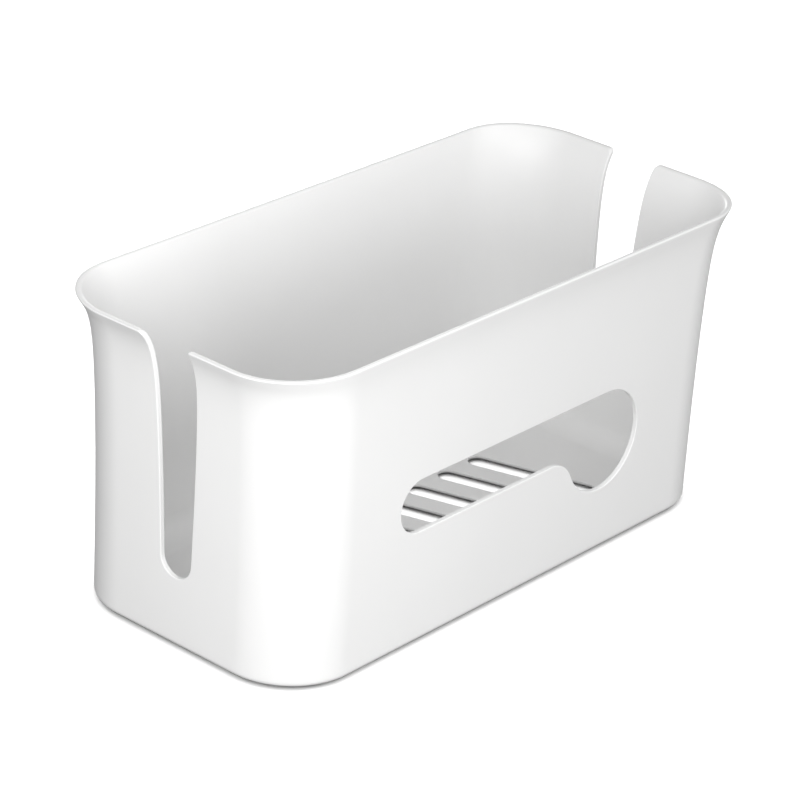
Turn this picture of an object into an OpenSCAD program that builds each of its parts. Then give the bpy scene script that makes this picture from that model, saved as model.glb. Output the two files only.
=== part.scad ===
// Open cable management box: a moulded tub with an open top that stands on
// four rubber pads. Cables enter through the notch in each end wall or
// through the window in the front wall.
// Millimetres, +Z up, front wall towards -Y, length along X.
// The origin is at the centre of the footprint, on the surface it stands on.

/* [Tub] */
// Length over the base
base_l = 300; // [270:1:360]
// Depth over the base
base_w = 142.4; // [130:0.2:170]
// Radius of the upright corners at the base
base_r = 35; // [25:0.5:45]
// Height of the moulding, from its underside to the rim of the front and back walls
tub_h = 151.5; // [130:0.5:180]
// How far each end wall leans out at the rim
end_flare = 11.2; // [0:0.2:16]
// How far the front and back walls lean out at the rim
side_flare = 4.7; // [0:0.1:10]
// Growth of the corner radius from base to rim
corner_growth = 1.8; // [0:0.1:4]
// Share of the lean that belongs to the curled lip just under the rim
lip_share = 0.6; // [0:0.05:1]
// How far the curled lip lowers the rim over the end walls
end_dip = 1.2; // [0:0.1:3]
// Thickness of the walls
wall_t = 2.6; // [2:0.1:4]
// Thickness of the floor
floor_t = 1.5; // [1.2:0.1:3]
// Radius along the outer bottom edge
bottom_edge_r = 2.4; // [0.5:0.1:3]
// Radius between the floor and the walls, inside
inner_fillet_r = 12; // [6:0.5:16]

/* [Front window] */
// Height of the long slot's middle above the underside
slot_z = 69; // [60:0.5:90]
// Height of the long slot
slot_h = 26; // [16:0.5:30]
// Centre of the long slot's round left end
slot_left_x = -71.6; // [-100:0.1:-30]
// Centre of the round lobe at the right
lobe_x = 57.5; // [40:0.1:80]
// Radius of the round lobe
lobe_r = 25; // [20:0.5:28]
// Radius of the rounded shoulder between slot and lobe
shoulder_r = 16.5; // [10:0.5:20]

/* [End notches] */
// Width across the round bottom of each notch
notch_w = 18.2; // [12:0.2:24]
// Height of the notch's lowest point above the underside
notch_z = 33.5; // [25:0.5:80]
// Widening of the notch on each side for each millimetre upwards
notch_taper = 0.038; // [0:0.002:0.08]
// Radius of the lips where the notch meets the rim
notch_lip_r = 2.5; // [1:0.1:4]

/* [Floor vents] */
// Number of vents
vent_count = 9; // [1:2:9]
// Spacing along the floor
vent_pitch = 22.8; // [14:0.1:23]
// Width of each vent
vent_w = 10.4; // [5:0.1:11]
// Length over each vent's round ends
vent_l = 67; // [30:1:70]
// Slant of the vents from the depth of the box
vent_slant = 16.3; // [0:0.1:20]
// Place of the row's middle along the length
vent_x = 2.2; // [-4:0.1:4]
// Place of the row's middle, front to back
vent_y = -3.5; // [-6:0.5:6]

/* [Feet] */
// Diameter of each rubber pad
foot_d = 14; // [10:0.5:18]
// Thickness of each pad
foot_t = 2.3; // [1.8:0.1:3]
// Depth of the recess that holds a pad
recess_t = 0.5; // [0.3:0.1:0.7]
// Gap all round between a pad and its recess
recess_gap = 0.2; // [0.1:0.05:0.4]
// Radius along a pad's lower edge
foot_edge_r = 0.5; // [0.2:0.1:0.8]
// Distance of a pad's centre from the end of the base
foot_inset_x = 30; // [24:1:45]
// Distance of a pad's centre from the front or back of the base
foot_inset_y = 24; // [20:1:40]

/* [Hidden] */

// Facets in a quarter turn of the tub's upright corners
corner_steps = 8;
// Rings up each wall, round the rim and along the edge radii
wall_steps = 13;
rim_steps = 6;
edge_steps = 3;
fillet_steps = 5;
// How much closer the rings stand towards the curled lip
lip_crowding = 1.7;
// Powers of the two parts of the wall's lean: a slow one and the lip's
slow_power = 3;
lip_power = 16;
// Extra length that carries a cutter clear of the wall it cuts
clear = 12;

foot_gap = foot_t - recess_t;
foot_x = base_l / 2 - foot_inset_x;
foot_y = base_w / 2 - foot_inset_y;
round_fn = 96;

// Heights where the wall runs into the round of the rim and into the fillet
wall_top = tub_h - wall_t / 2;
fillet_top = floor_t + inner_fillet_r;

// Height z as a share of the height where the rim's round starts
function climb(z) = max(0, min(z / wall_top, 1));

// Lean of the wall at height z, 0 at the base and 1 where the rim's round starts
function lean(z) =
    (1 - lip_share) * pow(climb(z), slow_power) + lip_share * pow(climb(z), lip_power);

// How much the lean grows for each millimetre of height
function slope(z) =
    ((1 - lip_share) * slow_power * pow(climb(z), slow_power - 1)
     + lip_share * lip_power * pow(climb(z), lip_power - 1)) / wall_top;

// Level distance across a wall that leans out by flare, for an inset square to it
function across(inset, flare, z) = inset * sqrt(1 + pow(flare * slope(z), 2));

// Rounded rectangle at height z, drawn in from the outer face by inset
function ring(z, inset) =
    let (k = lean(z),
         dip = end_dip * pow(climb(z), lip_power),
         in_x = across(inset, end_flare, z),
         in_y = across(inset, side_flare, z),
         r = base_r + corner_growth * k - (in_x + in_y) / 2,
         x = base_l / 2 + end_flare * k - in_x - r,
         y = base_w / 2 + side_flare * k - in_y - r)
    [for (q = [0 : 3], i = [0 : corner_steps])
        let (a = 90 * (q + i / corner_steps),
             sx = (q == 0 || q == 3) ? 1 : -1,
             sy = q < 2 ? 1 : -1)
        [sx * x + r * cos(a), sy * y + r * sin(a), z - dip * pow(cos(a), 2)]];

// Section of the tub as [height, inset] pairs: round the bottom edge, up the
// outer face, over the rim, down the inner face and round to the floor
function up_the_wall(low, i) =
    low + (wall_top - low) * (1 - pow(1 - i / wall_steps, lip_crowding));

bottom_edge = [for (i = [0 : edge_steps])
    let (a = 90 * i / edge_steps)
    [bottom_edge_r * (1 - cos(a)), bottom_edge_r * (1 - sin(a))]];
outer_face = [for (i = [1 : wall_steps - 1])
    [up_the_wall(bottom_edge_r, i), 0]];
rim = [for (i = [0 : rim_steps])
    let (a = 180 * i / rim_steps)
    [wall_top + wall_t / 2 * sin(a), wall_t / 2 * (1 - cos(a))]];
inner_face = [for (i = [wall_steps - 1 : -1 : 1])
    [up_the_wall(fillet_top, i), wall_t]];
fillet = [for (i = [0 : fillet_steps])
    let (a = 90 * i / fillet_steps)
    [fillet_top - inner_fillet_r * sin(a),
     wall_t + inner_fillet_r * (1 - cos(a))]];
section = concat(bottom_edge, outer_face, rim, inner_face, fillet);

// Solid lofted through the rings of the section
module shell() {
    n = 4 * (corner_steps + 1);
    last = len(section) - 1;
    points = [for (s = section) each ring(s[0], s[1])];
    bands = [for (k = [0 : last - 1], i = [0 : n - 1])
        let (a = k * n + i, b = k * n + (i + 1) % n)
        each [[a, a + n, b], [b, a + n, b + n]]];
    underside = [for (i = [0 : n - 1]) i];
    floor_top = [for (i = [n - 1 : -1 : 0]) last * n + i];
    polyhedron(points, concat([underside], bands, [floor_top]));
}

// Outline of a bar with round ends, centred, along Y
module bar(w, l) {
    square([w, l - w], center = true);
    for (s = [-1, 1])
        translate([0, s * (l - w) / 2])
            circle(d = w, $fn = round_fn);
}

// Outline of the window, X across and Y up
module window_outline() {
    slot_low = slot_z - slot_h / 2;
    lobe_z = slot_z + slot_h / 2 - lobe_r;
    shoulder_z = slot_low - shoulder_r;
    shoulder_x = lobe_x - sqrt(pow(lobe_r + shoulder_r, 2) - pow(lobe_z - shoulder_z, 2));
    translate([slot_left_x, slot_z])
        circle(d = slot_h, $fn = round_fn);
    translate([slot_left_x, slot_low])
        square([lobe_x - slot_left_x, slot_h]);
    translate([lobe_x, lobe_z])
        circle(r = lobe_r, $fn = round_fn);
    difference() {
        polygon([[shoulder_x, shoulder_z], [lobe_x, lobe_z],
                 [lobe_x, slot_z], [shoulder_x, slot_z]]);
        translate([shoulder_x, shoulder_z])
            circle(r = shoulder_r, $fn = round_fn);
    }
}

// Outline of an end notch, X across and Y up
module notch_outline() {
    tilt = atan(notch_taper);
    r = notch_w / 2;
    middle_z = notch_z + r;
    lip_z = tub_h - end_dip - notch_lip_r;
    low = [r * cos(tilt), middle_z - r * sin(tilt)];
    high = [low[0] + notch_taper * (lip_z - low[1]), lip_z];
    translate([0, middle_z])
        circle(r = r, $fn = round_fn);
    polygon([low, high, [high[0], tub_h + clear],
             [-high[0], tub_h + clear], [-high[0], lip_z], [-low[0], low[1]]]);
    for (s = [0, 1])
        mirror([s, 0])
            translate(high)
                difference() {
                    translate([-notch_lip_r, 0])
                        square([2 * notch_lip_r, notch_lip_r + clear]);
                    translate([notch_lip_r, 0])
                        circle(r = notch_lip_r, $fn = round_fn);
                }
}

// Cuts the front wall only
module window_cut() {
    depth = 2 * clear;
    translate([0, -base_w / 2 + clear, 0])
        rotate([90, 0, 0])
            linear_extrude(depth)
                window_outline();
}

// Cuts both end walls along one line
module notch_cut() {
    rotate([90, 0, 90])
        linear_extrude(base_l + 2 * end_flare + 2 * clear, center = true)
            notch_outline();
}

// Cuts the slanted row through the floor
module vent_cuts() {
    middle = (vent_count - 1) / 2;
    for (i = [-middle : middle])
        translate([vent_x + i * vent_pitch, vent_y, -clear])
            rotate([0, 0, vent_slant])
                linear_extrude(2 * clear)
                    bar(vent_w, vent_l);
}

// Places its child under each named corner: sx is -1 left, sy is -1 front
module at_corner(sx, sy) {
    translate([sx * foot_x, sy * foot_y, 0])
        children();
}

module tub() {
    color("whitesmoke")
        translate([0, 0, foot_gap])
            difference() {
                shell();
                window_cut();
                notch_cut();
                vent_cuts();
                for (sx = [-1, 1], sy = [-1, 1])
                    at_corner(sx, sy)
                        translate([0, 0, -clear])
                            cylinder(h = clear + recess_t, r = foot_d / 2 + recess_gap, $fn = round_fn);
            }
}

// A pad with a rounded lower edge, its flat top bonded into the recess
module foot() {
    r = foot_d / 2;
    core = r - foot_edge_r;
    color("dimgray")
        rotate_extrude($fn = round_fn) {
            square([core, foot_t]);
            translate([0, foot_edge_r])
                square([r, foot_t - foot_edge_r]);
            intersection() {
                translate([core, foot_edge_r])
                    circle(r = foot_edge_r, $fn = round_fn);
                square([r, foot_edge_r]);
            }
        }
}

module foot_front_left() { at_corner(-1, -1) foot(); }
module foot_front_right() { at_corner(1, -1) foot(); }
module foot_back_left() { at_corner(-1, 1) foot(); }
module foot_back_right() { at_corner(1, 1) foot(); }

tub();
foot_front_left();
foot_front_right();
foot_back_left();
foot_back_right();
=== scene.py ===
"""Looks of an open cable management box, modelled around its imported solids.

Metres, +Z up, the front wall towards -Y and the length along X. The origin is
at the centre of the footprint, on the surface that the rubber feet stand on.
"""

import logging
import math
from dataclasses import dataclass, field
from enum import Enum
from typing import Any, Callable, ClassVar, Optional, Sequence, Union

import bmesh
import bpy
from mathutils import Matrix, Vector


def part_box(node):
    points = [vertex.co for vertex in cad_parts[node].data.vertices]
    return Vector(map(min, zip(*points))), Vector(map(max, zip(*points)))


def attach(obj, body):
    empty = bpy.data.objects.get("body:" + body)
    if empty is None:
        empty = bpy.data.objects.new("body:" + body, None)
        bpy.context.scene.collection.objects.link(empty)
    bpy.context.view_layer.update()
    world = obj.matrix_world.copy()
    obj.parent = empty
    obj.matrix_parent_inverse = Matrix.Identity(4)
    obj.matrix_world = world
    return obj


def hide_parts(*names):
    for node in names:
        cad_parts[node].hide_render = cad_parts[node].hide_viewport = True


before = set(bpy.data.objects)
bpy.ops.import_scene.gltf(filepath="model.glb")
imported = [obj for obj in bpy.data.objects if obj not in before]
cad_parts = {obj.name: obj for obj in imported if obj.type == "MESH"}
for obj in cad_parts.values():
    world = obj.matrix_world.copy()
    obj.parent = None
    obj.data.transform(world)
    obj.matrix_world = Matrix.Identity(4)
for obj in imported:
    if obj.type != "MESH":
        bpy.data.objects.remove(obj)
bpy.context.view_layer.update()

MM = 0.001
TOLERANCE = 0.01 * MM
NOISE_MIDDLE = 0.5
ROOT_BODY = "root"

log = logging.getLogger("cable_box")

Point = tuple[float, float]
Colour = tuple[float, float, float]


# ---------------------------------------------------------------- bench tools


def only(piece: bpy.types.Object) -> None:
    """Selects one object, and makes it the active one.

    Args:
        piece: the object.
    """
    bpy.ops.object.select_all(action="DESELECT")
    piece.select_set(True)
    bpy.context.view_layer.objects.active = piece


class Bench:
    """Edit mode on one piece, with tools that pick its faces and edges by a test."""

    def __init__(self, piece: bpy.types.Object) -> None:
        """Takes the piece that is worked on."""
        self.piece = piece

    def __enter__(self) -> "Bench":
        """Enters edit mode with nothing selected.

        Returns:
            The bench itself.
        """
        only(self.piece)
        bpy.ops.object.mode_set(mode="EDIT")
        bpy.ops.mesh.select_all(action="DESELECT")
        return self

    def __exit__(self, *_: Any) -> None:
        """Goes back to object mode."""
        bpy.ops.object.mode_set(mode="OBJECT")

    def _pick(self, kind: str, test: Callable[[Any], bool]) -> None:
        """Selects the parts of the mesh that pass a test, and no others.

        Args:
            kind: "FACE" or "EDGE".
            test: says whether a face or an edge is picked.
        """
        bpy.ops.mesh.select_mode(type=kind)
        bpy.ops.mesh.select_all(action="DESELECT")
        mesh = bmesh.from_edit_mesh(self.piece.data)
        parts = mesh.faces if kind == "FACE" else mesh.edges
        picked = [part for part in parts if test(part)]
        for part in picked:
            part.select_set(True)
        bmesh.update_edit_mesh(self.piece.data)

    def pick_faces(self, test: Callable[[bmesh.types.BMFace], bool]) -> None:
        """Selects the faces that pass a test, and no others."""
        self._pick("FACE", test)

    def pick_edges(self, test: Callable[[bmesh.types.BMEdge], bool]) -> None:
        """Selects the edges that pass a test, and no others."""
        self._pick("EDGE", test)

    def weigh_sharp_edges(self, angle: float, share: Callable[[float], float]) -> None:
        """Gives every sharp edge a bevel weight.

        Args:
            angle: the least angle of a sharp edge, in degrees.
            share: the weight of an edge whose middle is at a height.
        """
        self.pick_edges(lambda edge: edge.calc_face_angle() > math.radians(angle))
        mesh = bmesh.from_edit_mesh(self.piece.data)
        weights = mesh.edges.layers.float.new("bevel_weight_edge")
        for edge in mesh.edges:
            if edge.select:
                edge[weights] = share((edge.verts[0].co.z + edge.verts[1].co.z) / 2)
        bmesh.update_edit_mesh(self.piece.data)

    def grow(self, rise: float, scale: Point, height: float) -> None:
        """Extrudes the selected cap to a new height and rescales it there.

        Args:
            rise: how far the cap moves along Z.
            scale: the cap's new size along X and Y, as shares of the old.
            height: where the cap ends up.
        """
        bpy.ops.mesh.extrude_region_move(TRANSFORM_OT_translate={"value": (0, 0, rise)})
        bpy.ops.transform.resize(value=(*scale, 1), center_override=(0, 0, height))

    def round_off(self, radius: float, steps: int) -> None:
        """Bevels the selected edges.

        Args:
            radius: the round's radius.
            steps: how many faces go round it.
        """
        bpy.ops.mesh.bevel(
            offset_type="OFFSET",
            offset=radius,
            segments=steps,
            profile=0.5,
            affect="EDGES",
            clamp_overlap=False,
            loop_slide=False,
        )


def apply(piece: bpy.types.Object, kind: str, **settings: Any) -> None:
    """Adds a modifier to a piece and applies it.

    Args:
        piece: the piece that gets it.
        kind: the modifier's type.
        settings: its properties.
    """
    only(piece)
    modifier = piece.modifiers.new(kind.title(), kind)
    for name, value in settings.items():
        setattr(modifier, name, value)
    bpy.ops.object.modifier_apply(modifier=modifier.name)


def arc(middle: Point, radius: float, start: float, end: float, steps: int) -> list[Point]:
    """Points along an arc.

    Args:
        middle: the arc's centre.
        radius: its radius.
        start: the angle of its first point, in degrees.
        end: the angle of its last point.
        steps: how many chords it has.

    Returns:
        The points, both ends included.
    """
    turns = [math.radians(start + (end - start) * i / steps) for i in range(steps + 1)]
    return [(middle[0] + radius * math.cos(a), middle[1] + radius * math.sin(a)) for a in turns]


def bar_from_outline(
    name: str, outline: Sequence[Point], depth: float, place: Matrix
) -> bpy.types.Object:
    """A closed bar with an outline as its section, used as a cutter.

    Args:
        name: the cutter's name.
        outline: points in the bar's own X and Y.
        depth: the bar's length along its own Z, half on either side.
        place: turns and moves the bar into place.

    Returns:
        The bar.
    """
    mesh = bpy.data.meshes.new(name)
    mesh.from_pydata([(x, y, -depth / 2) for x, y in outline], [], [list(range(len(outline)))])
    bar = bpy.data.objects.new(name, mesh)
    bpy.context.scene.collection.objects.link(bar)
    with Bench(bar):
        bpy.ops.mesh.select_all(action="SELECT")
        bpy.ops.mesh.extrude_region_move(TRANSFORM_OT_translate={"value": (0, 0, depth)})
        bpy.ops.mesh.select_all(action="SELECT")
        bpy.ops.mesh.normals_make_consistent(inside=False)
    mesh.transform(place)
    return bar


def cut(piece: bpy.types.Object, cutter: bpy.types.Object) -> None:
    """Cuts a piece with a cutter, and throws the cutter away."""
    apply(piece, "BOOLEAN", object=cutter, operation="DIFFERENCE", solver="EXACT")
    bpy.data.objects.remove(cutter)


# ------------------------------------------------------------------- finishes


# The colour sockets of a Mix node, which go by number because their names repeat.
MIX_AMOUNT, MIX_FIRST, MIX_SECOND, MIX_COLOUR = 0, 6, 7, 2


class Wire:
    """A number from a shader socket that takes part in sums."""

    def __init__(self, sheet: "Sheet", socket: bpy.types.NodeSocket) -> None:
        """Wraps one output socket of a sheet of nodes."""
        self.sheet = sheet
        self.socket = socket

    def _sum(self, operation: str, first: "Feed", second: "Feed") -> "Wire":
        """One Math node on two values."""
        made = self.sheet.node("ShaderNodeMath", {"operation": operation}, {0: first, 1: second})
        return Wire(self.sheet, made.outputs[0])

    def __radd__(self, other: "Feed") -> "Wire":
        """Another value plus this one."""
        return self._sum("ADD", self, other)

    def __sub__(self, other: "Feed") -> "Wire":
        """This value less another."""
        return self._sum("SUBTRACT", self, other)

    def __mul__(self, other: "Feed") -> "Wire":
        """This value times another."""
        return self._sum("MULTIPLY", self, other)


Feed = Union[Wire, float, Sequence[float]]


class Sheet:
    """The node sheet of one material, with its main shader."""

    def __init__(self, name: str) -> None:
        """Makes the material and finds its main shader.

        Args:
            name: the material's name.
        """
        self.material = bpy.data.materials.new(name)
        self.material.use_nodes = True
        self.tree = self.material.node_tree
        self.shader = self.tree.nodes["Principled BSDF"]

    def feed(self, socket: bpy.types.NodeSocket, value: Feed) -> None:
        """Links a wire to a socket, or sets the socket's own value.

        Args:
            socket: the input socket.
            value: what goes into it.
        """
        if isinstance(value, Wire):
            self.tree.links.new(value.socket, socket)
        else:
            socket.default_value = value

    def coat(self, name: str, value: Feed) -> None:
        """Feeds one input of the main shader."""
        self.feed(self.shader.inputs[name], value)

    def node(
        self, kind: str, settings: dict[str, Any], inputs: dict[Any, Feed]
    ) -> bpy.types.Node:
        """Makes one node.

        Args:
            kind: the node's type.
            settings: its properties, which are set first.
            inputs: the values or wires of its sockets.

        Returns:
            The node.
        """
        made = self.tree.nodes.new(kind)
        for name, value in settings.items():
            setattr(made, name, value)
        for name, value in inputs.items():
            self.feed(made.inputs[name], value)
        return made

    def place(self) -> Wire:
        """The point on the piece, in metres from the origin."""
        made = self.node("ShaderNodeTexCoord", {}, {})
        return Wire(self, made.outputs["Object"])

    def noise(self, grain: float, detail: float) -> Wire:
        """Smooth noise about a grain size.

        Args:
            grain: the size of one blotch, in metres.
            detail: how many finer octaves it has.

        Returns:
            The noise, between 0 and 1.
        """
        inputs = {"Vector": self.place(), "Scale": 1 / grain, "Detail": detail}
        made = self.node("ShaderNodeTexNoise", {"noise_dimensions": "3D"}, inputs)
        return Wire(self, made.outputs["Fac"])

    def blend(self, amount: Feed, first: Colour, second: Colour) -> Wire:
        """A colour between two colours.

        Args:
            amount: 0 for the first colour, 1 for the second.
            first: the first colour.
            second: the second colour.

        Returns:
            The colour.
        """
        settings = {"data_type": "RGBA", "clamp_factor": True}
        inputs = {MIX_AMOUNT: amount, MIX_FIRST: (*first, 1.0), MIX_SECOND: (*second, 1.0)}
        made = self.node("ShaderNodeMix", settings, inputs)
        return Wire(self, made.outputs[MIX_COLOUR])

    def bump(self, height: Wire, depth: float, under: Optional[Wire] = None) -> Wire:
        """A normal bent by a height.

        Args:
            height: the height, between 0 and 1.
            depth: what a height of 1 is, in metres.
            under: the normal of a coarser bump below this one.

        Returns:
            The bent normal.
        """
        inputs: dict[Any, Feed] = {"Height": height, "Distance": depth, "Strength": 1.0}
        if under is not None:
            inputs["Normal"] = under
        made = self.node("ShaderNodeBump", {}, inputs)
        return Wire(self, made.outputs["Normal"])


def vary(middle: float, noise: Wire, spread: float) -> Wire:
    """A value that noise, which runs from 0 to 1, moves up and down about its middle."""
    return middle + (noise - NOISE_MIDDLE) * spread


@dataclass(frozen=True)
class WhiteMoulding:
    """White injection-moulded plastic with a fine satin grain."""

    pale: Colour = (0.865, 0.865, 0.862)
    deep: Colour = (0.845, 0.845, 0.842)
    roughness: float = 0.42
    roughness_spread: float = 0.08
    grain: float = 0.35 * MM
    grain_depth: float = 0.004 * MM
    flow: float = 45 * MM
    flow_depth: float = 0.05 * MM
    detail: float = 1.0

    def make(self) -> bpy.types.Material:
        """Builds the material.

        Returns:
            The material.
        """
        sheet = Sheet("white_moulding")
        clouds = sheet.noise(self.flow, self.detail)
        tooth = sheet.noise(self.grain, self.detail)
        sheet.coat("Base Color", sheet.blend(clouds, self.deep, self.pale))
        sheet.coat("Roughness", vary(self.roughness, clouds, self.roughness_spread))
        waves = sheet.bump(clouds, self.flow_depth)
        sheet.coat("Normal", sheet.bump(tooth, self.grain_depth, waves))
        return sheet.material


@dataclass(frozen=True)
class PadRubber:
    """Dark grey soft rubber, matte, with a fine tooth."""

    pale: Colour = (0.13, 0.13, 0.135)
    deep: Colour = (0.085, 0.085, 0.09)
    roughness: float = 0.78
    roughness_spread: float = 0.12
    grain: float = 0.5 * MM
    grain_depth: float = 0.03 * MM
    detail: float = 2.0

    def make(self) -> bpy.types.Material:
        """Builds the material.

        Returns:
            The material.
        """
        sheet = Sheet("pad_rubber")
        tooth = sheet.noise(self.grain, self.detail)
        sheet.coat("Base Color", sheet.blend(tooth, self.deep, self.pale))
        sheet.coat("Roughness", vary(self.roughness, tooth, self.roughness_spread))
        sheet.coat("Normal", sheet.bump(tooth, self.grain_depth))
        return sheet.material


# ------------------------------------------------------------------------ tub


@dataclass(frozen=True)
class Window:
    """The front window: a long slot with a round lobe and a shoulder."""

    slot_middle: float = 69 * MM
    slot_height: float = 26 * MM
    slot_left: float = -71.6 * MM
    lobe_across: float = 57.5 * MM
    lobe_radius: float = 25 * MM
    shoulder_radius: float = 16.5 * MM
    end_steps: int = 24
    shoulder_steps: int = 12
    lobe_steps: int = 48

    @property
    def low(self) -> float:
        """Height of the slot's lower edge above the underside."""
        return self.slot_middle - self.slot_height / 2

    @property
    def high(self) -> float:
        """Height of the slot's upper edge above the underside."""
        return self.slot_middle + self.slot_height / 2

    @property
    def lobe_middle(self) -> float:
        """Height of the lobe's centre, which puts its top level with the slot's."""
        return self.high - self.lobe_radius

    def outline(self) -> list[Point]:
        """The window's outline, along X and up from the underside.

        Returns:
            Its points.
        """
        shoulder_height = self.low - self.shoulder_radius
        reach = self.lobe_radius + self.shoulder_radius
        climb = self.lobe_middle - shoulder_height
        contact = math.degrees(math.asin(climb / reach))
        left_end = (self.slot_left, self.slot_middle)
        shoulder = (self.lobe_across - math.sqrt(reach**2 - climb**2), shoulder_height)
        lobe = (self.lobe_across, self.lobe_middle)
        return [
            *arc(left_end, self.slot_height / 2, 90, 270, self.end_steps),
            *arc(shoulder, self.shoulder_radius, 90, contact, self.shoulder_steps),
            *arc(lobe, self.lobe_radius, contact - 180, 90, self.lobe_steps)[1:],
        ]


@dataclass(frozen=True)
class Notch:
    """The notch in each end wall: a round bottom, slowly widening, with small lips."""

    width: float = 18.2 * MM
    bottom: float = 33.5 * MM
    taper: float = 0.038
    lip_radius: float = 2.5 * MM
    lip_rise: float = 0.02 * MM
    headroom: float = 12 * MM
    steps: int = 24
    lip_steps: int = 8

    def outline(self, rim: float) -> list[Point]:
        """The notch's outline, along Y and up from the underside.

        Args:
            rim: height of the end wall's rim above the underside.

        Returns:
            Its points.
        """
        radius = self.width / 2
        tilt = math.degrees(math.atan(self.taper))
        middle = self.bottom + radius
        low = arc((0, middle), radius, tilt - 180, -tilt, self.steps)
        lip_height = rim - self.lip_radius + self.lip_rise
        half_width = low[-1][0] + self.taper * (lip_height - low[-1][1])
        lip_middle = (half_width + self.lip_radius, lip_height)
        lip = arc(lip_middle, self.lip_radius, 180, 90, self.lip_steps)
        right = lip + [(lip[-1][0], rim + self.headroom)]
        left = [(-x, z) for x, z in reversed(right)]
        return low + right + left


@dataclass(frozen=True)
class Vents:
    """The slanted row of vents in the floor."""

    count: int = 9
    pitch: float = 22.8 * MM
    width: float = 10.4 * MM
    length: float = 67 * MM
    slant: float = 16.3
    row_middle: Point = (2.2 * MM, -3.5 * MM)
    steps: int = 12

    def outline(self) -> list[Point]:
        """The outline of one vent, along Y.

        Returns:
            Its points.
        """
        reach = (self.length - self.width) / 2
        radius = self.width / 2
        back_end = arc((0, reach), radius, 0, 180, self.steps)
        front_end = arc((0, -reach), radius, 180, 360, self.steps)
        return back_end + front_end

    def places(self) -> list[Matrix]:
        """Where each vent goes, turned by the slant.

        Returns:
            One matrix for each vent.
        """
        turn = Matrix.Rotation(math.radians(self.slant), 4, "Z")
        middle, along = self.row_middle
        steps = [i - (self.count - 1) / 2 for i in range(self.count)]
        moves = [Matrix.Translation((middle + step * self.pitch, along, 0)) for step in steps]
        return [move @ turn for move in moves]


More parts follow.
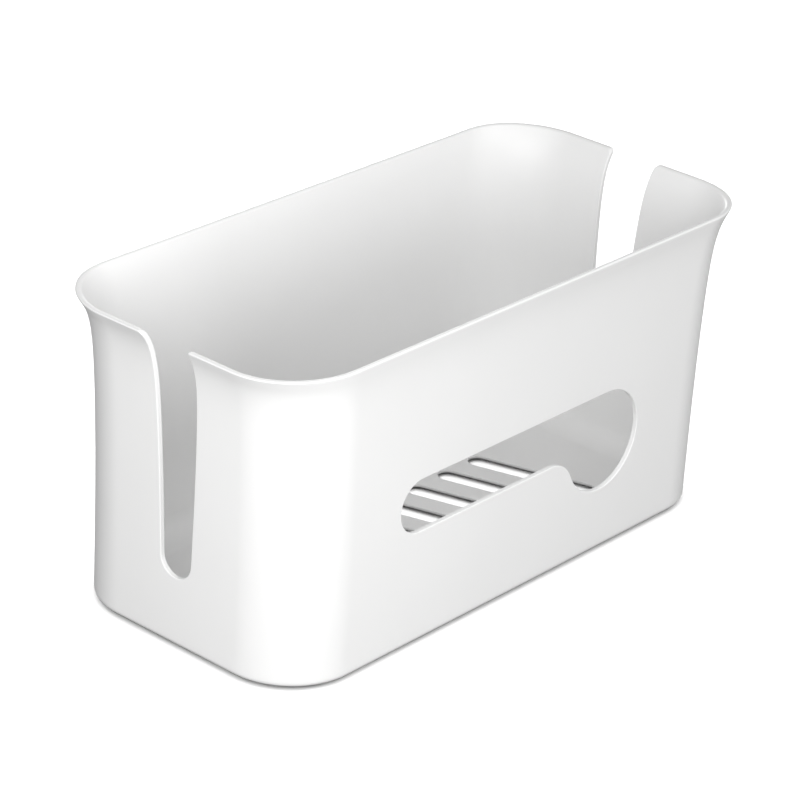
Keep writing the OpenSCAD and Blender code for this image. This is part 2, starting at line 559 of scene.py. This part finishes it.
@dataclass
class Tub:
    """The one-piece moulded tub: flared walls, curled rim, window, notches and vented floor."""

    end_flare: float = 11.2 * MM
    side_flare: float = 4.7 * MM
    base_radius: float = 35 * MM
    lip_share: float = 0.6
    slow_power: int = 3
    lip_power: int = 16
    end_dip: float = 1.2 * MM
    wall: float = 2.6 * MM
    floor: float = 1.5 * MM
    bottom_round: float = 2.4 * MM
    fillet: float = 12 * MM
    rim_round: float = 1.15 * MM
    edge_round: float = 0.5 * MM
    vent_round: float = 0.45 * MM
    vent_reach: float = 1 * MM
    recess_depth: float = 0.5 * MM
    recess_gap: float = 0.2 * MM
    recess_sides: int = 64
    first_ring: float = 4 * MM
    ring_count: int = 24
    ring_crowding: float = 1.6
    ring_gap: float = 3 * MM
    corner_steps: int = 24
    fillet_steps: int = 8
    round_steps: int = 4
    vent_round_steps: int = 2
    cutter_clear: float = 12 * MM
    sharp_angle: float = 50.0
    flat_weight: int = 60
    window: Window = field(default_factory=Window)
    notch: Notch = field(default_factory=Notch)
    vents: Vents = field(default_factory=Vents)

    def __post_init__(self) -> None:
        """Takes the overall size and the height of the underside from the frame."""
        low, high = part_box("tub")
        self.underside = low.z
        self.height = high.z - low.z
        self.base = (high.x - low.x - 2 * self.end_flare, high.y - low.y - 2 * self.side_flare)
        self.round_start = self.height - self.wall / 2
        # The lean goes on for a quarter of the wall, which the rim's rounding takes back.
        self.lean_end = 1 + self.wall / 4 / self.round_start

    def climb(self, height: float) -> float:
        """A height as a share of the height where the rim's round starts."""
        return max(height, 0) / self.round_start

    def lean(self, height: float) -> float:
        """How far the wall leans out, from 0 at the base to 1 where the rim's round starts.

        A part of the lean grows slowly all the way up, and the rest is the lip,
        which curls out just under the rim.

        Args:
            height: height above the underside.

        Returns:
            The lean at that height.
        """
        share = min(self.climb(height), self.lean_end)
        slow = (1 - self.lip_share) * share**self.slow_power
        return slow + self.lip_share * share**self.lip_power

    def slope(self, height: float) -> float:
        """How much the lean grows for each metre of height.

        Args:
            height: height above the underside.

        Returns:
            The growth at that height.
        """
        share = min(self.climb(height), 1)
        slow = (1 - self.lip_share) * self.slow_power * share ** (self.slow_power - 1)
        lip = self.lip_share * self.lip_power * share ** (self.lip_power - 1)
        return (slow + lip) / self.round_start

    def spread(self, height: float, inset: float = 0.0) -> Point:
        """Length and depth over the walls at a height.

        Args:
            height: height above the underside.
            inset: how far the outline is drawn in on each side, square to the wall.

        Returns:
            The length along X and the depth along Y.
        """
        lean, slope = self.lean(height), self.slope(height)
        flares = (self.end_flare, self.side_flare)
        level = [flare * lean - inset * math.hypot(1, flare * slope) for flare in flares]
        return self.base[0] + 2 * level[0], self.base[1] + 2 * level[1]

    def rings(self) -> list[float]:
        """Heights of the wall's rings, closer together towards the curled lip.

        They keep clear of the level edges of the window and the notches, so
        that the rounding of those edges has room.

        Returns:
            The heights, from the first ring to the rim.
        """
        lobe_low = self.window.lobe_middle - self.window.lobe_radius
        marks = (self.window.low, self.window.high, lobe_low, self.notch.bottom, self.height)
        heights = []
        for i in range(1, self.ring_count):
            share = 1 - (1 - i / self.ring_count) ** self.ring_crowding
            height = self.first_ring + (self.height - self.first_ring) * share
            if all(abs(height - mark) > self.ring_gap for mark in marks):
                heights.append(height)
        return [self.first_ring, *heights, self.height]

    def _block(self, heights: Sequence[float]) -> bpy.types.Object:
        """Grows the tub out of a rounded slab: up to the rim, and back down inside to the floor.

        Args:
            heights: the heights of the rings.

        Returns:
            The tub with no openings.
        """
        first = heights[0]
        bpy.ops.object.select_all(action="DESELECT")
        bpy.ops.mesh.primitive_cube_add(
            size=1, location=(0, 0, self.underside + first / 2), scale=(*self.base, first)
        )
        block = bpy.context.active_object
        block.name = block.data.name = "tub_moulding"
        bpy.ops.object.transform_apply(location=True, rotation=True, scale=True)
        top = self.underside + first
        with Bench(block) as bench:
            bench.pick_edges(lambda edge: abs(edge.verts[0].co.z - edge.verts[1].co.z) > first / 2)
            bench.round_off(self.base_radius, self.corner_steps)
            bench.pick_faces(lambda face: face.calc_center_median().z > top - TOLERANCE)
            self._climb(bench, heights, inset=0.0)
            self._inset_rim()
            floor_ring = self.floor + self.fillet
            way_down = [height for height in reversed(heights) if height > floor_ring]
            self._climb(bench, [*way_down, floor_ring], inset=self.wall)
            self._fillet()
            bench.pick_edges(self._is_bottom_edge)
            bench.round_off(self.bottom_round, self.round_steps)
        self._dip_ends(block)
        return block

    def _climb(self, bench: Bench, heights: Sequence[float], inset: float) -> None:
        """Grows the selected cap through each height in turn.

        Args:
            bench: the bench that the tub is on.
            heights: the heights, of which the cap is at the first.
            inset: how far the outline is drawn in, square to the wall.
        """
        for below, above in zip(heights, heights[1:]):
            old, new = self.spread(below, inset), self.spread(above, inset)
            scale = (new[0] / old[0], new[1] / old[1])
            bench.grow(above - below, scale, self.underside + above)

    def _inset_rim(self) -> None:
        """Insets the selected cap by the wall, and by a little more at the slanted ends."""
        bpy.ops.mesh.inset(thickness=self.wall, use_even_offset=True)
        outer, inner = self.spread(self.height), self.spread(self.height, self.wall)
        fit = [new / (old - 2 * self.wall) for old, new in zip(outer, inner)]
        middle = (0, 0, self.underside + self.height)
        bpy.ops.transform.resize(value=(*fit, 1), center_override=middle)

    def _dip_ends(self, block: bpy.types.Object) -> None:
        """Lowers the curled lip over the ends, blending out round the corners.

        Args:
            block: the tub with no openings.
        """
        ends = block.vertex_groups.new(name="ends")
        straight = [1 - 2 * self.base_radius / base for base in self.base]
        for vert in block.data.vertices:
            height = vert.co.z - self.underside
            corner = [size / 2 * share for size, share in zip(self.spread(height), straight)]
            beyond = [max(abs(place) - middle, 0) for place, middle in zip(vert.co, corner)]
            towards_end = math.cos(math.atan2(beyond[1], beyond[0])) if beyond[0] > 0 else 0
            curl = min(self.climb(height), 1) ** self.lip_power
            ends.add([vert.index], towards_end**2 * curl, "REPLACE")
        apply(
            block,
            "DISPLACE",
            direction="Z",
            strength=-self.end_dip,
            mid_level=0.0,
            vertex_group=ends.name,
        )
        block.vertex_groups.clear()

    def _fillet(self) -> None:
        """Draws the selected inner cap in and down, along the round between wall and floor."""
        turns = [math.pi / 2 * i / self.fillet_steps for i in range(self.fillet_steps + 1)]
        for before, after in zip(turns, turns[1:]):
            inward = self.fillet * (math.cos(before) - math.cos(after))
            down = self.fillet * (math.sin(after) - math.sin(before))
            bpy.ops.mesh.inset(thickness=inward, depth=-down, use_even_offset=True)

    def _is_bottom_edge(self, edge: bmesh.types.BMEdge) -> bool:
        """Whether an edge runs round the underside."""
        return all(abs(vert.co.z - self.underside) < TOLERANCE for vert in edge.verts)

    def _cut_openings(self, block: bpy.types.Object) -> None:
        """Cuts the window through the front wall and the notches through both ends.

        Args:
            block: the tub, which is cut.
        """
        upright = Matrix.Rotation(math.pi / 2, 4, "X")
        endways = Matrix.Rotation(math.pi / 2, 4, "Z") @ upright
        front = Matrix.Translation((0, -self.base[1] / 2, self.underside))
        middle = Matrix.Translation((0, 0, self.underside))
        window = self.window.outline()
        depth = 2 * self.cutter_clear
        cut(block, bar_from_outline("window_cutter", window, depth, front @ upright))
        notch = self.notch.outline(self.height - self.end_dip)
        reach = self.base[0] + 2 * self.end_flare + 2 * self.cutter_clear
        cut(block, bar_from_outline("notch_cutter", notch, reach, middle @ endways))

    def _round_openings(self, block: bpy.types.Object) -> None:
        """Rounds the rim, and eases every edge of the window and the notches.

        Args:
            block: the tub, with its window and notches.
        """
        with Bench(block) as bench:
            bench.weigh_sharp_edges(self.sharp_angle, self._round_share)
        apply(
            block,
            "BEVEL",
            width=self.rim_round,
            segments=self.round_steps,
            limit_method="WEIGHT",
            use_clamp_overlap=False,
            loop_slide=False,
        )

    def _round_share(self, height: float) -> float:
        """An edge's round as a share of the rim's, which grows to 1 over the notches' lips.

        Args:
            height: height of the edge's middle above the ground.

        Returns:
            The share.
        """
        least = self.edge_round / self.rim_round
        lip_top = self.height - self.end_dip
        climbed = 1 - (lip_top - (height - self.underside)) / self.notch.lip_radius
        return least + (1 - least) * min(max(climbed, 0), 1)

    def _cut_vents(self, block: bpy.types.Object) -> None:
        """Cuts the vents through the floor.

        Args:
            block: the tub, which is cut.
        """
        level = Matrix.Translation((0, 0, self.underside))
        depth = 2 * self.cutter_clear
        for i, place in enumerate(self.vents.places()):
            outline = self.vents.outline()
            cut(block, bar_from_outline(f"vent_cutter_{i}", outline, depth, level @ place))

    def _cut_recesses(self, block: bpy.types.Object) -> None:
        """Cuts a recess in the underside round each pad.

        Args:
            block: the tub, which is cut.
        """
        for name in Feet.NODES:
            low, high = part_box(name)
            bpy.ops.object.select_all(action="DESELECT")
            bpy.ops.mesh.primitive_cylinder_add(
                vertices=self.recess_sides,
                radius=(high.x - low.x) / 2 + self.recess_gap,
                depth=2 * self.recess_depth,
                location=((low.x + high.x) / 2, (low.y + high.y) / 2, self.underside),
            )
            cutter = bpy.context.active_object
            bpy.ops.object.transform_apply(location=True, rotation=True, scale=True)
            cut(block, cutter)

    def _ease_floor(self, block: bpy.types.Object) -> None:
        """Rounds the edges of the vents and the recesses.

        Args:
            block: the tub, with its vents and recesses.
        """
        reach = self.underside + self.floor + self.vent_reach
        with Bench(block) as bench:
            bench.pick_edges(
                lambda edge: edge.is_manifold
                and edge.calc_face_angle_signed() > math.radians(self.sharp_angle)
                and all(vert.co.z < reach for vert in edge.verts)
            )
            bench.round_off(self.vent_round, self.vent_round_steps)

    def build(self) -> bpy.types.Object:
        """Models the tub and dresses it.

        Returns:
            The finished piece.
        """
        piece = self._block(self.rings())
        self._cut_openings(piece)
        self._round_openings(piece)
        self._cut_vents(piece)
        self._cut_recesses(piece)
        self._ease_floor(piece)
        for polygon in piece.data.polygons:
            polygon.use_smooth = True
        apply(piece, "WEIGHTED_NORMAL", weight=self.flat_weight, keep_sharp=False)
        piece.data.materials.clear()
        piece.data.materials.append(WhiteMoulding().make())
        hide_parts("tub")
        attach(piece, ROOT_BODY)
        return piece


# ----------------------------------------------------------------------- feet


@dataclass
class Feet:
    """The four rubber pads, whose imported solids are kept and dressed."""

    NODES: ClassVar[tuple[str, ...]] = (
        "foot_front_left",
        "foot_front_right",
        "foot_back_left",
        "foot_back_right",
    )

    def dress(self) -> list[bpy.types.Object]:
        """Gives every pad its rubber.

        Returns:
            The pads.
        """
        rubber = PadRubber().make()
        pads = [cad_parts[name] for name in self.NODES]
        for pad in pads:
            for slot in pad.material_slots:
                slot.material = rubber
        return pads


# ---------------------------------------------------------------------- stage


class Side(Enum):
    """Where a light stands, as degrees round from the front wall and up."""

    LEFT = (-75.0, 25.0)
    FRONT = (-40.0, 15.0)
    RIGHT = (20.0, 30.0)
    BACK = (140.0, 5.0)
    GROUND = (-50.0, 85.0)


@dataclass(frozen=True)
class Softbox:
    """A square soft light that faces the box."""

    side: Side
    power: float
    size: float
    distance: float

    def build(self, aim: Vector) -> bpy.types.Object:
        """Makes the light.

        Args:
            aim: the point that it faces.

        Returns:
            The light.
        """
        around, up = (math.radians(value) for value in self.side.value)
        level = math.cos(up)
        direction = Vector((math.sin(around) * level, -math.cos(around) * level, math.sin(up)))
        name = f"{self.side.name.lower()}_light"
        data = bpy.data.lights.new(name, "AREA")
        data.energy = self.power
        data.size = self.size
        light = bpy.data.objects.new(name, data)
        turn = direction.to_track_quat("Z", "Y").to_matrix().to_4x4()
        light.matrix_world = Matrix.Translation(aim + direction * self.distance) @ turn
        bpy.context.scene.collection.objects.link(light)
        return light


@dataclass
class PhotoCamera:
    """The camera at the photograph's viewing angle, with its turns in degrees."""

    place: tuple[float, float, float] = (-1068.3 * MM, -893.3 * MM, 741.6 * MM)
    turn: float = -49.953
    down: float = 25.663
    roll: float = 3.489
    lens: float = 150.67
    film_width: float = 36.0
    far_end: float = 50.0

    def build(self) -> None:
        """Makes the camera and has the scene seen through it."""
        data = bpy.data.cameras.new("photo_camera")
        data.lens = self.lens
        data.sensor_width = self.film_width
        data.clip_end = self.far_end
        camera = bpy.data.objects.new("photo_camera", data)
        turn = Matrix.Rotation(math.radians(self.turn), 4, "Z")
        tilt = Matrix.Rotation(math.radians(90 - self.down), 4, "X")
        roll = Matrix.Rotation(math.radians(self.roll), 4, "Z")
        camera.matrix_world = Matrix.Translation(self.place) @ turn @ tilt @ roll
        bpy.context.scene.collection.objects.link(camera)
        bpy.context.scene.camera = camera


@dataclass
class Studio:
    """A plain pale floor under soft white light."""

    floor_size: float = 12.0
    floor_tone: float = 0.6
    card_tone: float = 0.25
    card_drop: float = 0.1 * MM
    sky: float = 0.475
    aim_height: float = 75 * MM
    softboxes: tuple[Softbox, ...] = (
        Softbox(Side.LEFT, power=2.2, size=0.5, distance=0.75),
        Softbox(Side.FRONT, power=2.6, size=0.5, distance=0.75),
        Softbox(Side.RIGHT, power=4.6, size=0.8, distance=1.2),
        Softbox(Side.BACK, power=3.0, size=0.3, distance=0.9),
    )
    ground_lamp: Softbox = Softbox(Side.GROUND, power=235.0, size=5.0, distance=3.0)
    pan_height: float = 5 * MM
    pan_inset: float = 0.3 * MM

    def _plane(self, name: str, tone: float, drop: float = 0.0) -> bpy.types.Object:
        """A wide, level, matt plane.

        Args:
            name: its name.
            tone: how much light it throws back.
            drop: how far it lies below the surface that the box stands on.

        Returns:
            The plane.
        """
        bpy.ops.object.select_all(action="DESELECT")
        bpy.ops.mesh.primitive_plane_add(size=self.floor_size, location=(0, 0, -drop))
        bpy.ops.object.transform_apply(location=True)
        plane = bpy.context.active_object
        plane.name = name
        sheet = Sheet(f"{name}_matt")
        sheet.coat("Base Color", (tone, tone, tone, 1.0))
        sheet.coat("Roughness", 1.0)
        sheet.coat("Specular IOR Level", 0.0)
        plane.data.materials.append(sheet.material)
        return plane

    def _pan(self, moulding: bpy.types.Object) -> bpy.types.Object:
        """A copy of the tub's floor, hidden just inside it, which only throws a shadow.

        Args:
            moulding: the finished tub.

        Returns:
            The copy.
        """
        pan = bpy.data.objects.new("studio_pan", moulding.data.copy())
        bpy.context.scene.collection.objects.link(pan)
        with Bench(pan):
            bpy.ops.mesh.select_all(action="SELECT")
            top = (0, 0, self.pan_height)
            bpy.ops.mesh.bisect(plane_co=top, plane_no=(0, 0, 1), clear_outer=True)
        apply(pan, "DISPLACE", strength=-self.pan_inset, mid_level=0.0)
        for ray in ("camera", "diffuse", "glossy", "transmission"):
            setattr(pan, f"visible_{ray}", False)
        return pan

    def _ground(self, moulding: bpy.types.Object) -> None:
        """The white floor, and a grey card just under it.

        Only the camera sees the floor, and the box gets its light from below
        from the card. The floor has a lamp of its own. Nothing but the pan
        stops it, so that the flared rim throws no shadow on the white.

        Args:
            moulding: the finished tub.
        """
        floor = self._plane("studio_floor", self.floor_tone)
        floor.visible_diffuse = floor.visible_glossy = floor.visible_shadow = False
        card = self._plane("studio_card", self.card_tone, self.card_drop)
        card.visible_camera = False
        lamp = self.ground_lamp.build(Vector())
        lamp.visible_camera = False
        links = lamp.light_linking
        links.receiver_collection = self._group("lit_by_ground_lamp", floor)
        links.blocker_collection = self._group("stops_ground_lamp", self._pan(moulding))

    def _group(self, name: str, piece: bpy.types.Object) -> bpy.types.Collection:
        """A collection that holds one piece, for linking a light to it.

        Args:
            name: the collection's name.
            piece: what it holds.

        Returns:
            The collection.
        """
        group = bpy.data.collections.new(name)
        group.objects.link(piece)
        return group

    def _sky(self) -> None:
        """Even white light from all round."""
        world = bpy.data.worlds.new("studio_sky")
        world.use_nodes = True
        glow = world.node_tree.nodes["Background"]
        glow.inputs["Color"].default_value = (1, 1, 1, 1)
        glow.inputs["Strength"].default_value = self.sky
        bpy.context.scene.world = world

    def build(self, moulding: bpy.types.Object) -> None:
        """Makes the ground and the lights round the tub.

        Args:
            moulding: the finished tub.
        """
        self._ground(moulding)
        self._sky()
        for softbox in self.softboxes:
            softbox.build(Vector((0, 0, self.aim_height)))
        bpy.context.scene.view_settings.view_transform = "Standard"


def main() -> None:
    """Builds the camera, the pieces and the studio in order."""
    logging.basicConfig(level=logging.INFO, format="%(message)s")
    PhotoCamera().build()
    tub = Tub().build()
    log.info("%s: %d faces", tub.name, len(tub.data.polygons))
    for pad in Feet().dress():
        log.info("%s: dressed in rubber", pad.name)
    Studio().build(tub)


if __name__ == "__main__":
    main()
